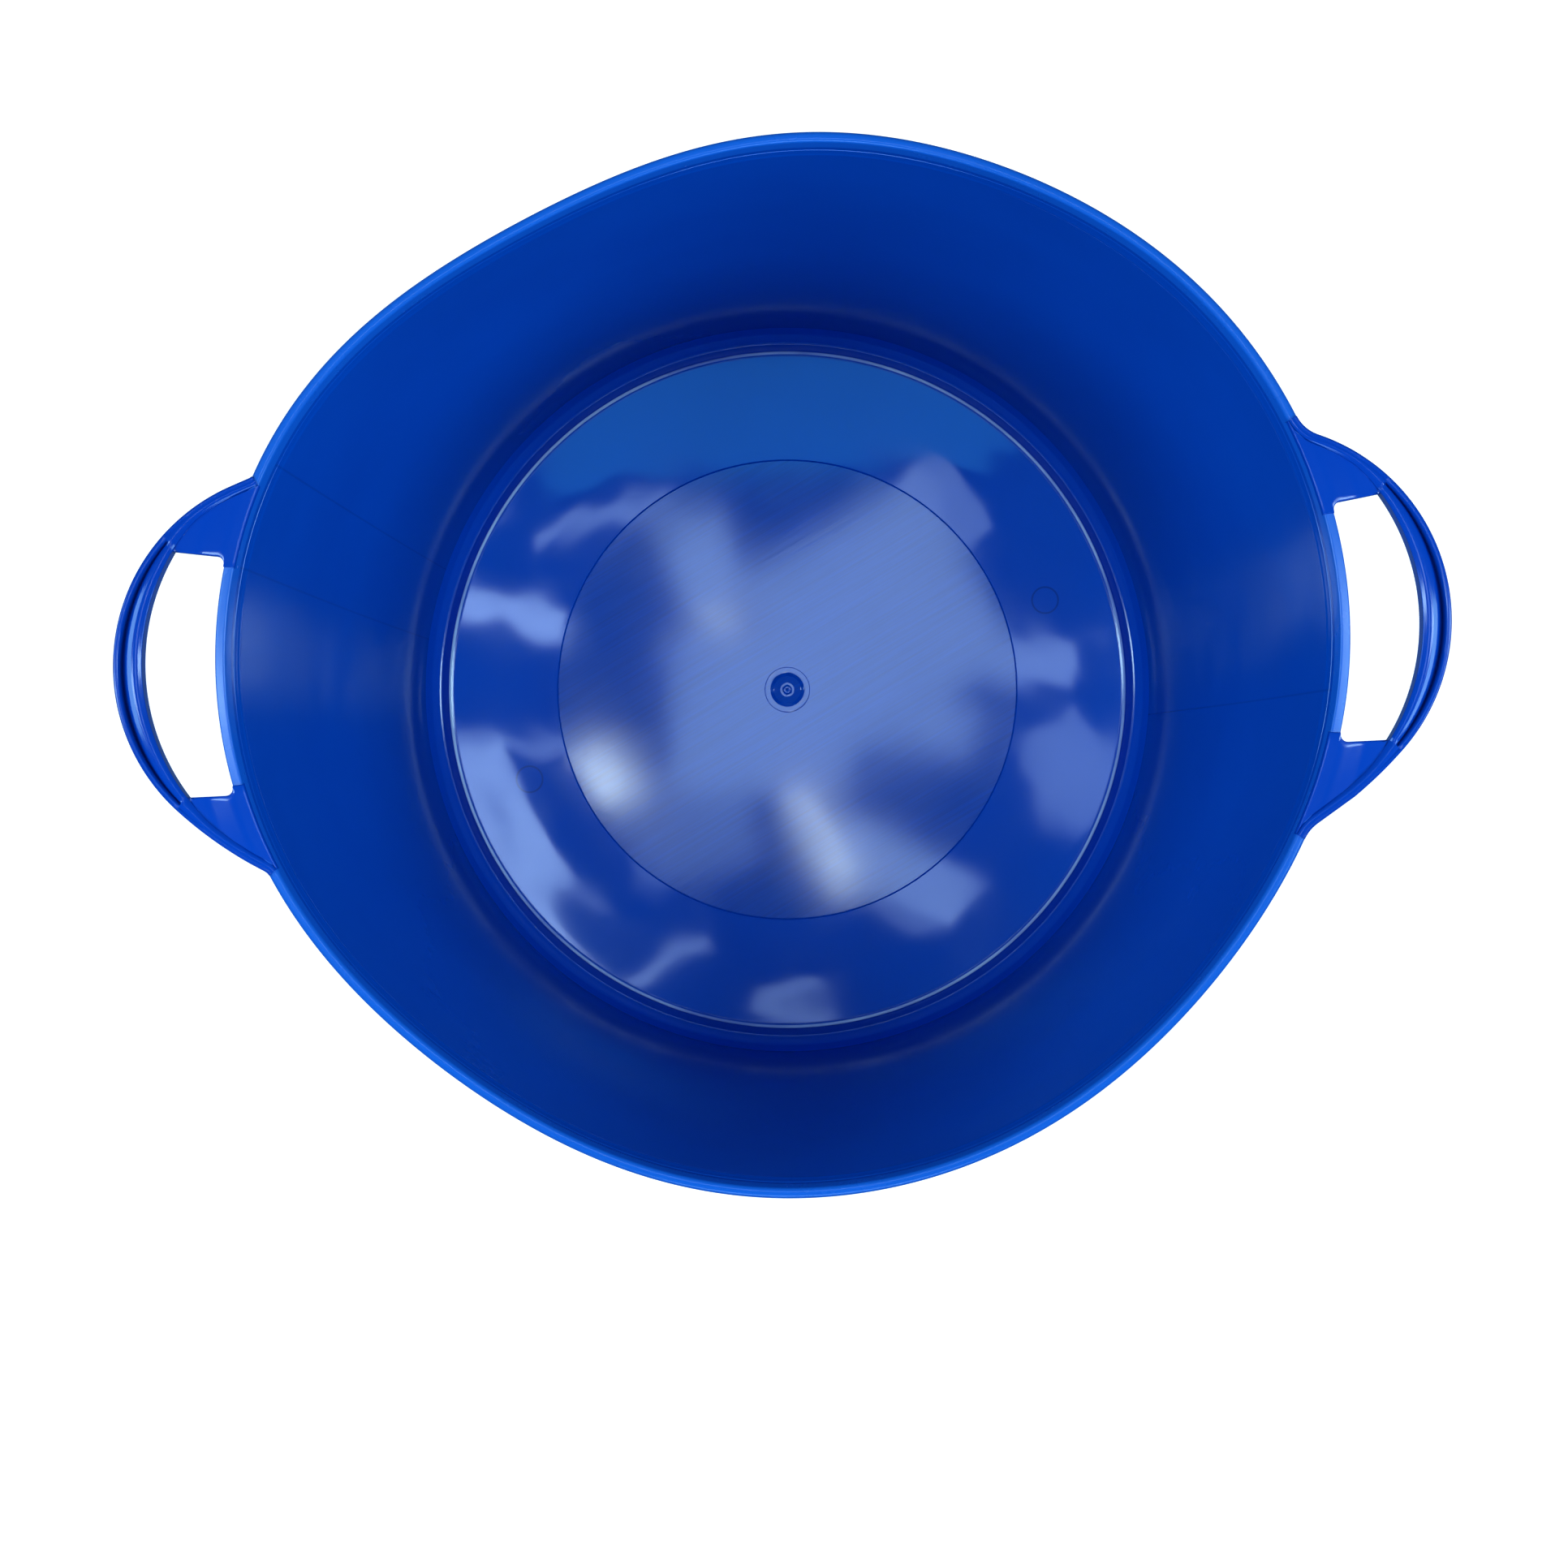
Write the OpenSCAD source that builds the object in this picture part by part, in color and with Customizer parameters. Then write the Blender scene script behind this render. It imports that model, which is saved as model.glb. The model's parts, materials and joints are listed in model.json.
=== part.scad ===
// Mortar mixing tub: a flexible moulded tub with two handles that grow out of its rim.
// The origin is the centre of the foot ring's underside. +X runs through the right handle, +Z is up.
// Every size is in millimetres and every angle in degrees.

/* [Tub] */
// Height of the rim above the ground
tub_h = 330; // [280:5:380]
// Mean outer radius of the rim
rim_r = 216.8; // [210:0.1:225]
// Thickness of the side wall
wall_t = 3; // [2:0.25:4]
// Height of the thicker collar band under the rim bead
collar_h = 10; // [6:1:20]
// Height of the rim bead
bead_h = 8; // [6:0.5:12]
// Width of the rim bead
bead_w = 4.2; // [3.5:0.1:5]

/* [Rim shape] */
// How far the rim has crept away from the centre of the base, along Y
rim_shift = 3.2; // [0:0.1:6]
// Radius that the rim gains on its long axis and loses on its short axis
oval = 8; // [0:0.1:10]
// Direction of the long axis, from +X
oval_turn = 8.5; // [-30:0.5:30]
// Height of the three-lobed wave in the rim
three_lobe = 3.7; // [0:0.1:5]
// Direction of the first of the three lobes
three_lobe_turn = 43.5; // [0:0.5:60]
// Height of the four-lobed wave in the rim
four_lobe = 2.3; // [0:0.1:3]
// Direction of the first of the four lobes
four_lobe_turn = -4; // [-45:1:45]
// Height of the finer waves in the rim
ripple = 0.5; // [0:0.1:1]

/* [Base] */
// Radius of the outside of the base, where the straight wall starts
heel_r = 177.5; // [170:0.5:182]
// Radius of the raised floor's edge
floor_r = 163.5; // [160:0.5:164]
// Thickness of the floor
floor_t = 3; // [2:0.5:3.5]
// Clearance under the floor, inside the foot ring
foot_h = 4; // [3:0.5:6]
// Radius of the fine-grained disc in the middle of the floor
disc_r = 111; // [60:1:140]
// Radius of the ring around the gate mark
gate_r = 11; // [9:0.5:20]
// Radius of the dimple that the moulding gate leaves
dimple_r = 7.5; // [5:0.5:8]

/* [Handles] */
// Distance of the left handle's outer edge from the base centre
left_reach = 268.2; // [262:0.1:275]
// Distance of the right handle's outer edge from the base centre
right_reach = 264.7; // [262:0.1:275]
// Distance of both handles' middle from the X axis
handle_y = 10.5; // [5:0.5:15]
// Radius of the handle's outer edge, seen from above
handle_r = 78; // [77:0.5:82]
// Width of the grip at its middle
grip_w = 11.4; // [10:0.2:14]
// Depth of the grip, from its top down
grip_d = 13; // [10:0.5:16]
// Length of the hand opening
opening_l = 98; // [90:1:105]
// Thickness of the webs that join the grip to the rim
web_t = 4.5; // [3:0.5:6]
// Width of the ridge along the grip's outer edge
ridge_w = 2.3; // [1.5:0.1:3]
// Width of the groove behind the ridge, at its middle
groove_w = 3.6; // [2:0.1:4]
// Depth of the groove
groove_d = 7; // [2:0.5:8]

/* [Hidden] */

$fn = 120;
STATIONS = 96;              // points around the tub in the out-of-round parts
ARC_STEPS = 8;              // straight steps in each rounded corner of a profile
LEFT = -1;
RIGHT = 1;
FRONT = -1;
REAR = 1;

// Wall
wall_z = 12;                                // the heel's curves end and the straight wall starts
bead_z = tub_h - bead_h;
collar_z = bead_z - collar_h;
collar_lip = 1;                             // the collar stands this far out of the wall
ledge = 0.7;                                // the collar's inside steps out by this much
ledge_h = 2;                                // height of the ledge above the collar's lower edge
bead_lip = bead_w - 2;                      // the bead stands this far out of the wall
bead_r = bead_w / 2;                        // the bead's top is a half round
RIPPLES = [[5, 7], [6, 28], [7, -9]];       // lobes of each finer wave, and the first one's direction

// Base
floor_z = foot_h + floor_t;
heel_in_r = floor_r - 5.5;                  // the heel ring meets the flat floor here
foot_in_r = floor_r - 1.5;
foot_out_r = heel_r - 8.5;
heel_fillet = 8;                            // outside corner of the heel
moat_fillet = 9;                            // inside corner, between the moat and the wall
shoulder_r = 1.5;                           // rounded edge of the raised floor
moat_z = 3;
moat_in_r = floor_r + 0.7;
disc_step = 0.2;                            // the middle disc lies this much lower than the floor
gate_depth = 1.5;
nub_r = 1.6;

// Handles
opening_front_y = handle_y - 50;
opening_rear_y = opening_front_y + opening_l;
grip_r = 88;                                // inner edge of the grip
groove_r = 85;                              // inner edge of the groove
roll_r = 2;                                 // rounding along the grip's inner edge
grip_round = 3;                             // rounding along the grip's underside
edge_w = 5;                                 // raised edge of a web
web_top = tub_h - bead_r;

tub_blue = [0.05, 0.25, 0.72];
floor_blue = [0.16, 0.38, 0.80];
collar_blue = [0.04, 0.20, 0.62];
rim_blue = [0.25, 0.45, 0.85];
web_blue = [0.03, 0.24, 0.68];
grip_blue = [0.06, 0.30, 0.75];

// ---- Shapes shared by several parts ----

// Points of an arc about a centre, from one angle to another
function arc(centre, r, from, to) =
    [for (i = [0:ARC_STEPS]) let (a = from + (to - from) * i / ARC_STEPS)
        centre + r * [cos(a), sin(a)]];

// Sum of a list of numbers
function sum(values) = values * [for (v = values) 1];

// How far the rim stands out of its mean circle at an angle
function rim_wave(a) =
    oval * cos(2 * (a - oval_turn))
    + three_lobe * cos(3 * (a - three_lobe_turn))
    + four_lobe * cos(4 * (a - four_lobe_turn))
    + ripple * sum([for (r = RIPPLES) cos(r[0] * (a - r[1]))]);

// A point of the wall's outer face, moved in by an inset. The wall is round at the heel,
// and its outline changes evenly with height into the rim's.
function wall_point(a, inset, outline_z) =
    let (
        k = (outline_z - wall_z) / (tub_h - wall_z),
        top_r = rim_r - bead_lip + rim_wave(a),
        r = heel_r + (top_r - heel_r) * k - inset
    )
    [r * cos(a), r * sin(a) + rim_shift * k];

// The rim's outermost outline
function rim_outline() =
    [for (i = [0:STATIONS - 1]) wall_point(i * 360 / STATIONS, -bead_lip, tub_h)];

// A closed band around the tub. Each point of its section is
// [inset from the wall's outer face, height, height whose outline it follows].
module band(section) {
    count = len(section);
    points = [
        for (i = [0:STATIONS - 1])
            for (p = section)
                let (xy = wall_point(i * 360 / STATIONS, p[0], p[2]))
                [xy[0], xy[1], p[1]]
    ];
    faces = [
        for (i = [0:STATIONS - 1])
            for (j = [0:count - 1])
                let (
                    a = i * count + j,
                    b = i * count + (j + 1) % count,
                    c = ((i + 1) % STATIONS) * count + (j + 1) % count,
                    d = ((i + 1) % STATIONS) * count + j
                )
                each [[a, b, c], [a, c, d]]
    ];
    polyhedron(points, faces, convexity = 4);
}

// ---- Base ----

module floor_disc() {
    color(floor_blue)
    difference() {
        translate([0, 0, foot_h]) cylinder(r = disc_r, h = floor_t - disc_step);
        cylinder(r = gate_r, h = tub_h);
    }
}

module gate_boss() {
    boss_z = foot_h - 1;
    profile = [
        [0, boss_z],
        [gate_r, boss_z],
        [gate_r, floor_z],
        [dimple_r + 2, floor_z],
        [dimple_r, floor_z - disc_step],
        [dimple_r * 0.5, floor_z - gate_depth],
        [nub_r, floor_z - gate_depth],
        [nub_r * 0.7, floor_z - gate_depth * 0.5],
        [0, floor_z - gate_depth * 0.5]
    ];
    color(floor_blue) rotate_extrude() polygon(profile);
}

module floor_ring() {
    color(floor_blue)
    translate([0, 0, foot_h])
    difference() {
        cylinder(r = heel_in_r, h = floor_t);
        translate([0, 0, -1]) cylinder(r = disc_r, h = floor_t + 2);
    }
}

module heel_ring() {
    fillet_r = heel_r - wall_t - moat_fillet;
    profile = concat(
        [[heel_in_r, foot_h], [foot_in_r - 2, foot_h], [foot_in_r, 0]],
        arc([foot_out_r, heel_fillet], heel_fillet, -90, 0),
        [[heel_r, wall_z]],
        arc([fillet_r, wall_z], moat_fillet, 0, -90),
        [[moat_in_r, moat_z], [floor_r, moat_z + 0.7]],
        arc([floor_r - shoulder_r, floor_z - shoulder_r], shoulder_r, 0, 90),
        [[heel_in_r, floor_z]]
    );
    color(collar_blue) rotate_extrude() polygon(profile);
}

// ---- Wall and rim ----

module side_wall() {
    color(tub_blue)
    band([
        [0, wall_z, wall_z],
        [wall_t, wall_z, wall_z],
        [wall_t, collar_z, collar_z],
        [0, collar_z, collar_z]
    ]);
}

module collar_band() {
    inside = wall_t - ledge;
    ledge_z = collar_z + ledge_h;
    color(collar_blue)
    band([
        [0, collar_z, collar_z],
        [wall_t, collar_z, collar_z],
        [wall_t, ledge_z, ledge_z],
        [inside, ledge_z + 0.3, ledge_z],
        [inside, bead_z, bead_z],
        [-collar_lip, bead_z, bead_z],
        [-collar_lip, ledge_z, ledge_z]
    ]);
}

module rim_bead() {
    round_z = tub_h - bead_r;
    top = arc([bead_r - bead_lip, round_z], bead_r, 0, 180);
    color(rim_blue)
    band(concat(
        [
            [-bead_lip, bead_z, tub_h],
            [wall_t - ledge, bead_z, bead_z]
        ],
        [for (p = top) [p[0], p[1], tub_h]]
    ));
}

// ---- Handles ----

// Moves its children to the centre of the handle's outer edge on one side
module at_handle(side) {
    reach = side == LEFT ? left_reach : right_reach;
    translate([side * (reach - handle_r), handle_y, 0]) children();
}

// The outer half of a handle's disc, between two Y values
module slab(side, y_from, y_to) {
    reach = side == LEFT ? left_reach : right_reach;
    near_x = reach - handle_r;
    translate([side == LEFT ? -reach - 1 : near_x, y_from, 0])
        cube([handle_r + 1, y_to - y_from, tub_h * 2]);
}

// The flat web at one end of a hand opening, with a raised outer edge
module web(side, end) {
    y_from = end == FRONT ? handle_y - handle_r : opening_rear_y;
    y_to = end == FRONT ? opening_front_y : handle_y + handle_r;
    color(web_blue)
    difference() {
        intersection() {
            at_handle(side) union() {
                translate([0, 0, web_top - web_t]) cylinder(r = handle_r, h = web_t);
                difference() {
                    translate([0, 0, tub_h - grip_d + 2]) cylinder(r = handle_r, h = grip_d - 2);
                    cylinder(r = handle_r - edge_w, h = tub_h * 2);
                }
            }
            slab(side, y_from, y_to);
        }
        linear_extrude(tub_h * 2) polygon(rim_outline());
    }
}

// The outer edge of the grip as a solid of revolution, rounded underneath
module grip_blank() {
    bottom_z = tub_h - grip_d;
    profile = concat(
        [[0, bottom_z]],
        arc([handle_r - grip_round, bottom_z + grip_round], grip_round, -90, 0),
        arc([handle_r - 1, tub_h - 1], 1, 0, 90),
        [[0, tub_h]]
    );
    rotate_extrude() polygon(profile);
}

// The hand's side of the grip, as the space that it leaves free
module hand_space() {
    bottom_z = tub_h - grip_d;
    profile = concat(
        [[0, bottom_z - 1], [grip_r + grip_round, bottom_z - 1]],
        arc([grip_r + grip_round, bottom_z + grip_round], grip_round, 270, 180),
        arc([grip_r + roll_r, tub_h - roll_r], roll_r, 180, 90),
        [[grip_r + roll_r, tub_h + 1], [0, tub_h + 1]]
    );
    rotate_extrude() polygon(profile);
}

// The grip without its ridge: a rounded roll on the hand's side, and the bed of the groove
module grip(side) {
    ridge_r = handle_r - ridge_w;
    middle_r = handle_r - grip_w;
    color(grip_blue)
    intersection() {
        at_handle(side) difference() {
            intersection() {
                grip_blank();
                cylinder(r = ridge_r, h = tub_h * 2);
            }
            translate([side * (middle_r - grip_r), 0, 0]) hand_space();
            difference() {
                translate([0, 0, tub_h - groove_d]) cylinder(r = handle_r, h = tub_h);
                translate([side * (ridge_r - groove_w - groove_r), 0, 0])
                    cylinder(r = groove_r, h = tub_h * 2);
            }
        }
        slab(side, opening_front_y, opening_rear_y);
    }
}

// The thin upright ridge along the grip's outer edge
module grip_ridge(side) {
    color(grip_blue)
    intersection() {
        at_handle(side) difference() {
            grip_blank();
            cylinder(r = handle_r - ridge_w, h = tub_h * 2);
        }
        slab(side, opening_front_y, opening_rear_y);
    }
}

module left_front_web() { web(LEFT, FRONT); }
module left_rear_web() { web(LEFT, REAR); }
module right_front_web() { web(RIGHT, FRONT); }
module right_rear_web() { web(RIGHT, REAR); }
module left_grip() { grip(LEFT); }
module left_grip_ridge() { grip_ridge(LEFT); }
module right_grip() { grip(RIGHT); }
module right_grip_ridge() { grip_ridge(RIGHT); }

floor_disc();
gate_boss();
floor_ring();
heel_ring();
side_wall();
collar_band();
rim_bead();
left_front_web();
left_rear_web();
right_front_web();
right_rear_web();
left_grip();
left_grip_ridge();
right_grip();
right_grip_ridge();
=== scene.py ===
"""Looks of the mortar mixing tub: one flexible blue moulding, with two handles that grow out of its rim.

Lengths in the geometry are in millimetres until grid_piece() turns them into metres.
"""

import json
import math

import bmesh
import bpy
import numpy as np
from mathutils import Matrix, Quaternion, Vector


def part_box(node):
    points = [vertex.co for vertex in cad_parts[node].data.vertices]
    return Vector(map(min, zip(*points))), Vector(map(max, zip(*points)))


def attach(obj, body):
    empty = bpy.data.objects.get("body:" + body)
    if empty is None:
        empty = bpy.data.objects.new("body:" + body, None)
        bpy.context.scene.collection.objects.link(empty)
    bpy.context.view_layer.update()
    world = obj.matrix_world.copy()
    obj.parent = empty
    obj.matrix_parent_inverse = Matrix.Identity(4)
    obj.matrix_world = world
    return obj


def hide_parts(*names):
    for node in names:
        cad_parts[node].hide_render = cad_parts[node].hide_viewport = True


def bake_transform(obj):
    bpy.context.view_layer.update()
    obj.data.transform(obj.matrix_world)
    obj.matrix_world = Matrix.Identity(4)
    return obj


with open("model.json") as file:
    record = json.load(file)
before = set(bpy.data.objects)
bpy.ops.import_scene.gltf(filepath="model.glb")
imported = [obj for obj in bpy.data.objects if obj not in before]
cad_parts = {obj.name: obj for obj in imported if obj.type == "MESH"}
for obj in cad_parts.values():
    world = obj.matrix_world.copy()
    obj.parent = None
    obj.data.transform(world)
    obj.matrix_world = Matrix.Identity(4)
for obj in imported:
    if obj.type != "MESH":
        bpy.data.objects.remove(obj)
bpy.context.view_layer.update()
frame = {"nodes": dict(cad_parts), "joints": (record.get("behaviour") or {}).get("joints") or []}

MM = 0.001
LEFT, RIGHT = -1, 1
FRONT, REAR = -1, 1


# ---- Sizes, read from the CAD model ----


def mm_box(node):
    """Lowest and highest corner of a CAD node, in millimetres."""
    low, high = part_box(node)
    return np.array(low) / MM, np.array(high) / MM


RIM_Z = mm_box("rim_bead")[1][2]
BEAD_Z = mm_box("rim_bead")[0][2]
COLLAR_Z = mm_box("collar_band")[0][2]
WALL_Z = mm_box("side_wall")[0][2]
HEEL_R = mm_box("heel_ring")[1][0]
HEEL_IN_R = mm_box("floor_ring")[1][0]
FLOOR_BOTTOM, FLOOR_TOP = mm_box("floor_ring")[0][2], mm_box("floor_ring")[1][2]
DISC_R = mm_box("floor_disc")[1][0]
DISC_TOP = mm_box("floor_disc")[1][2]
GATE_R = mm_box("gate_boss")[1][0]
GATE_BOTTOM = mm_box("gate_boss")[0][2]

# Details of the moulding that the CAD model leaves plainer
WALL_T = 3.0
BEAD_LIP = 2.2
COLLAR_LIP = 1.0
COLLAR_IN_T = WALL_T - 0.85
BEAD_IN_T = WALL_T - 1.05
FLOOR_EDGE_R = HEEL_IN_R + 5.5
FOOT_IN_R = FLOOR_EDGE_R - 1.5
SEAM_R = FLOOR_EDGE_R - 2.3
MOAT_Z = 3.0
LIP_H = 0.35
EDGE_LINE = 0.4
WARP_R = 169.5
DIMPLE_R = 7.5
NUB_R = 1.6
HANDLE_R = 78.0
GRIP_IN_R = 88.0
GRIP_W = 11.4
GRIP_D = 13.0
RIDGE_W = 2.3
WEB_T = 4.6
WEB_DROP = 1.5
OPENING_FILLET = 3.3
GROOVE_END = math.radians(44)
RIM_INSET = 0.15


# ---- The rim's outline ----


def wave_terms(angle, waves=9):
    """The terms of a wave series at each angle."""
    terms = [np.ones_like(angle)]
    for n in range(1, waves + 1):
        terms += [np.cos(n * angle), np.sin(n * angle)]
    return np.stack(terms, axis=-1)


def read_rim_outline():
    """The wave series of the CAD rim's outermost outline, around the base's centre, moved in a
    hair so that the smooth line stays within the CAD's."""
    points = np.array([v.co for v in frame["nodes"]["rim_bead"].data.vertices]) / MM
    points = points[points[:, 2] < BEAD_Z + 0.01]
    angle = np.arctan2(points[:, 1], points[:, 0])
    radius = np.hypot(points[:, 0], points[:, 1])
    middle = np.linalg.lstsq(wave_terms(angle), radius, rcond=None)[0]
    outer = radius > wave_terms(angle) @ middle
    series = np.linalg.lstsq(wave_terms(angle[outer]), radius[outer], rcond=None)[0]
    series[0] -= RIM_INSET
    return series


RIM_SERIES = read_rim_outline()
RIM_R = RIM_SERIES[0]


def rim_radius(angle):
    """Radius of the rim's outermost outline at an angle."""
    return wave_terms(np.asarray(angle, float)) @ RIM_SERIES


def height_share(z):
    """0 where the wall starts above the heel, 1 at the top of the rim."""
    return np.clip((np.asarray(z, float) - WALL_Z) / (RIM_Z - WALL_Z), 0, 1)


def wall_radius(z, inset=0.0):
    """Mean radius of the wall's outer face at a height, moved in by an inset."""
    return HEEL_R + (RIM_R - BEAD_LIP - HEEL_R) * height_share(z) - inset


# ---- Mesh helpers ----


def finish_piece(name, mesh, sharp_degrees):
    """Turns the faces outwards, shades them smoothly except at sharp edges, and links the piece."""
    work = bmesh.new()
    work.from_mesh(mesh)
    bmesh.ops.remove_doubles(work, verts=work.verts, dist=1e-6)
    bmesh.ops.recalc_face_normals(work, faces=work.faces)
    work.to_mesh(mesh)
    work.free()
    mesh.shade_smooth()
    mesh.set_sharp_from_angle(angle=math.radians(sharp_degrees))
    piece = bpy.data.objects.new(name, mesh)
    bpy.context.scene.collection.objects.link(piece)
    return piece


def grid_piece(name, points, wrap_rows, sharp_degrees=40.0, cap_half=None):
    """A closed skin over rows of points. Each row is a closed loop. cap_half is the number of
    points in a row's upper chain, where the first and last rows are closed by a strip of quads."""
    rows, cols = points.shape[:2]
    faces = []
    for i in range(rows if wrap_rows else rows - 1):
        here, after = i * cols, ((i + 1) % rows) * cols
        for j in range(cols):
            k = (j + 1) % cols
            faces.append((here + j, here + k, after + k, after + j))
    if cap_half:
        for start in (0, (rows - 1) * cols):
            for j in range(cap_half - 1):
                low_a, low_b = cols - 1 - j, cols - 2 - j
                faces.append((start + j, start + j + 1, start + low_b, start + low_a))
    mesh = bpy.data.meshes.new(name)
    mesh.from_pydata((points.reshape(-1, 3) * MM).tolist(), [], faces)
    return finish_piece(name, mesh, sharp_degrees)


def round_corners(corners, steps=6, closed=True):
    """A line through corners (x, y, radius), with each corner rounded by an arc of its radius."""
    points, count = [], len(corners)
    for i, (x, y, radius) in enumerate(corners):
        p = np.array([x, y], float)
        at_end = not closed and i in (0, count - 1)
        if radius <= 0 or at_end:
            points.append(p)
            continue
        before = np.array(corners[i - 1][:2], float) - p
        after = np.array(corners[(i + 1) % count][:2], float) - p
        before /= np.linalg.norm(before)
        after /= np.linalg.norm(after)
        half = math.acos(np.clip(before @ after, -1, 1)) / 2
        centre = p + (before + after) / np.linalg.norm(before + after) * radius / math.sin(half)
        first = p + before * radius / math.tan(half) - centre
        last = p + after * radius / math.tan(half) - centre
        turn = math.atan2(first[0] * last[1] - first[1] * last[0], first @ last)
        for s in np.linspace(0, turn, steps + 1):
            c, d = math.cos(s), math.sin(s)
            points.append(centre + [c * first[0] - d * first[1], d * first[0] + c * first[1]])
    return np.array(points)


def even_line(points, count):
    """The same line with evenly spaced points."""
    points = np.asarray(points, float)
    along = np.r_[0, np.cumsum(np.linalg.norm(np.diff(points, axis=0), axis=1))]
    at = np.linspace(0, along[-1], count)
    return np.stack([np.interp(at, along, points[:, i]) for i in range(points.shape[1])], axis=1)


def smooth(x):
    """0 below 0, 1 above 1, and a smooth step between."""
    x = np.clip(x, 0, 1)
    return x * x * (3 - 2 * x)


# ---- Warp of the thin, flexible moulding ----


# Number of petals around the floor, their height in millimetres and the first one's direction
PETALS = [(3, 0.10, 40), (5, 0.08, 200), (7, 0.06, 100)]
DOME_H = 0.3
# Fine unevenness of the outer floor, in millimetres
CRUMPLE_H = 0.009


def floor_warp(x, y):
    """How far the floor has warped up at a point."""
    r, angle = np.hypot(x, y), np.arctan2(y, x)
    share = r / WARP_R
    up = DOME_H * (1 - share**2)
    for petals, height, first in PETALS:
        up = up + share**3 * height * np.cos(petals * (angle - math.radians(first)))
    crumple = np.sin(x / 5.5 + 1.8 * np.sin(y / 19)) * np.sin(y / 6.5 + 1.3 * np.sin(x / 23))
    up = up + CRUMPLE_H * crumple * smooth((share - 0.62) / 0.1)
    return up * (1 - smooth((share - 0.79) / 0.16))


def wall_warp(angle, z):
    """How far the wall bulges out at an angle and height."""
    ends = np.sin(math.pi * height_share(z))
    slow = 0.5 * np.sin(2 * angle + 0.012 * z) + 0.3 * np.sin(5 * angle - 0.02 * z + 1.0)
    return ends * slow


# ---- Round parts ----


def round_piece(name, section, stations=360, warp=None, wrap=True):
    """Sweeps a section of (radius, height) points around the tub and out of round towards the rim."""
    angle = np.linspace(0, 2 * math.pi, stations, endpoint=False)[:, None]
    radius, z = section[:, 0][None, :], section[:, 1][None, :]
    radius = radius + height_share(z) * (rim_radius(angle[:, 0]) - RIM_R)[:, None]
    radius = np.where(section[:, 0][None, :] > 0, radius, 0.0)
    z = np.repeat(z, stations, axis=0)
    if warp == "wall":
        radius = radius + wall_warp(angle, z)
    x, y = radius * np.cos(angle), radius * np.sin(angle)
    if warp == "floor":
        z = z + floor_warp(x, y)
    return grid_piece(name, np.stack([x, y, z], axis=-1), wrap)


def gate_boss():
    """Middle of the floor: a shallow round mark with the gate's dimple and nub."""
    depth = 1.5
    corners = [
        (GATE_R, GATE_BOTTOM, 0.4),
        (GATE_R, DISC_TOP, 0),
        (GATE_R - 0.3, DISC_TOP + 0.12, 0.1),
        (DIMPLE_R + 0.6, DISC_TOP + 0.12, 0.5),
        (DIMPLE_R - 0.9, DISC_TOP - 0.9, 0.8),
        (DIMPLE_R * 0.45, DISC_TOP - depth, 1.5),
        (NUB_R + 0.5, DISC_TOP - depth, 0.3),
        (NUB_R, DISC_TOP - depth + 0.8, 0.3),
        (0.5, DISC_TOP - depth + 0.7, 0.2),
        (0.001, DISC_TOP - depth + 0.3, 0),
        (0.001, GATE_BOTTOM, 0),
    ]
    return round_piece("gate_boss", round_corners(corners, 4), 120, "floor")


def floor_section(inner, outer, top, rings):
    """A flat ring of floor, with its top and bottom divided into rings."""
    up = [(r, top) for r in np.linspace(inner, outer, rings)]
    down = [(r, FLOOR_BOTTOM) for r in np.linspace(outer, inner, rings)]
    return np.array(up + down)


def floor_disc():
    """Fine-grained middle disc of the floor, with a chamfered edge."""
    section = floor_section(GATE_R, DISC_R - EDGE_LINE, DISC_TOP, 60)
    edge = [(DISC_R, DISC_TOP - EDGE_LINE), (DISC_R, FLOOR_BOTTOM)]
    return round_piece("floor_disc", np.insert(section, 60, edge, axis=0), 360, "floor")


def floor_ring():
    """Glossy outer ring of the floor, with a chamfered inner edge."""
    section = floor_section(DISC_R + EDGE_LINE, SEAM_R, FLOOR_TOP, 34)
    edge = [(DISC_R, FLOOR_BOTTOM), (DISC_R, DISC_TOP - EDGE_LINE)]
    return round_piece("floor_ring", np.array(list(section) + edge), 360, "floor")


def heel_ring():
    """Floor edge with its fine lip, moat, foot and the curve into the wall."""
    lean = (wall_radius(RIM_Z) - wall_radius(WALL_Z)) / (RIM_Z - WALL_Z)
    inner_foot = HEEL_R - WALL_T - lean * (WALL_Z - MOAT_Z)
    corners = [
        (SEAM_R, FLOOR_TOP, 0),
        (FLOOR_EDGE_R - 1.9, FLOOR_TOP, 0.3),
        (FLOOR_EDGE_R - 0.9, FLOOR_TOP + LIP_H, 0.15),
        (FLOOR_EDGE_R, FLOOR_TOP + LIP_H - 0.1, 0.25),
        (FLOOR_EDGE_R + 0.8, FLOOR_TOP - 0.9, 0.3),
        (FLOOR_EDGE_R + 4.0, MOAT_Z, 0.6),
        (FLOOR_EDGE_R + 5.0, MOAT_Z + 0.35, 1.0),
        (inner_foot - 1.5, MOAT_Z + 3.6, 4.5),
        (HEEL_R - WALL_T, WALL_Z, 0),
        (HEEL_R, WALL_Z, 0),
        (HEEL_R - lean * WALL_Z, 0, 8),
        (FOOT_IN_R, 0, 0.8),
        (FOOT_IN_R - 0.4, FLOOR_BOTTOM, 0.2),
        (SEAM_R, FLOOR_BOTTOM, 0),
    ]
    return round_piece("heel_ring", round_corners(corners, 8), 360, "floor")


def side_wall():
    """Tapered wall."""
    heights = np.linspace(WALL_Z, COLLAR_Z, 48)
    up = [(wall_radius(z, WALL_T), z) for z in heights]
    down = [(wall_radius(z), z) for z in heights[::-1]]
    return round_piece("side_wall", np.array(up + down), 360, "wall")


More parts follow.
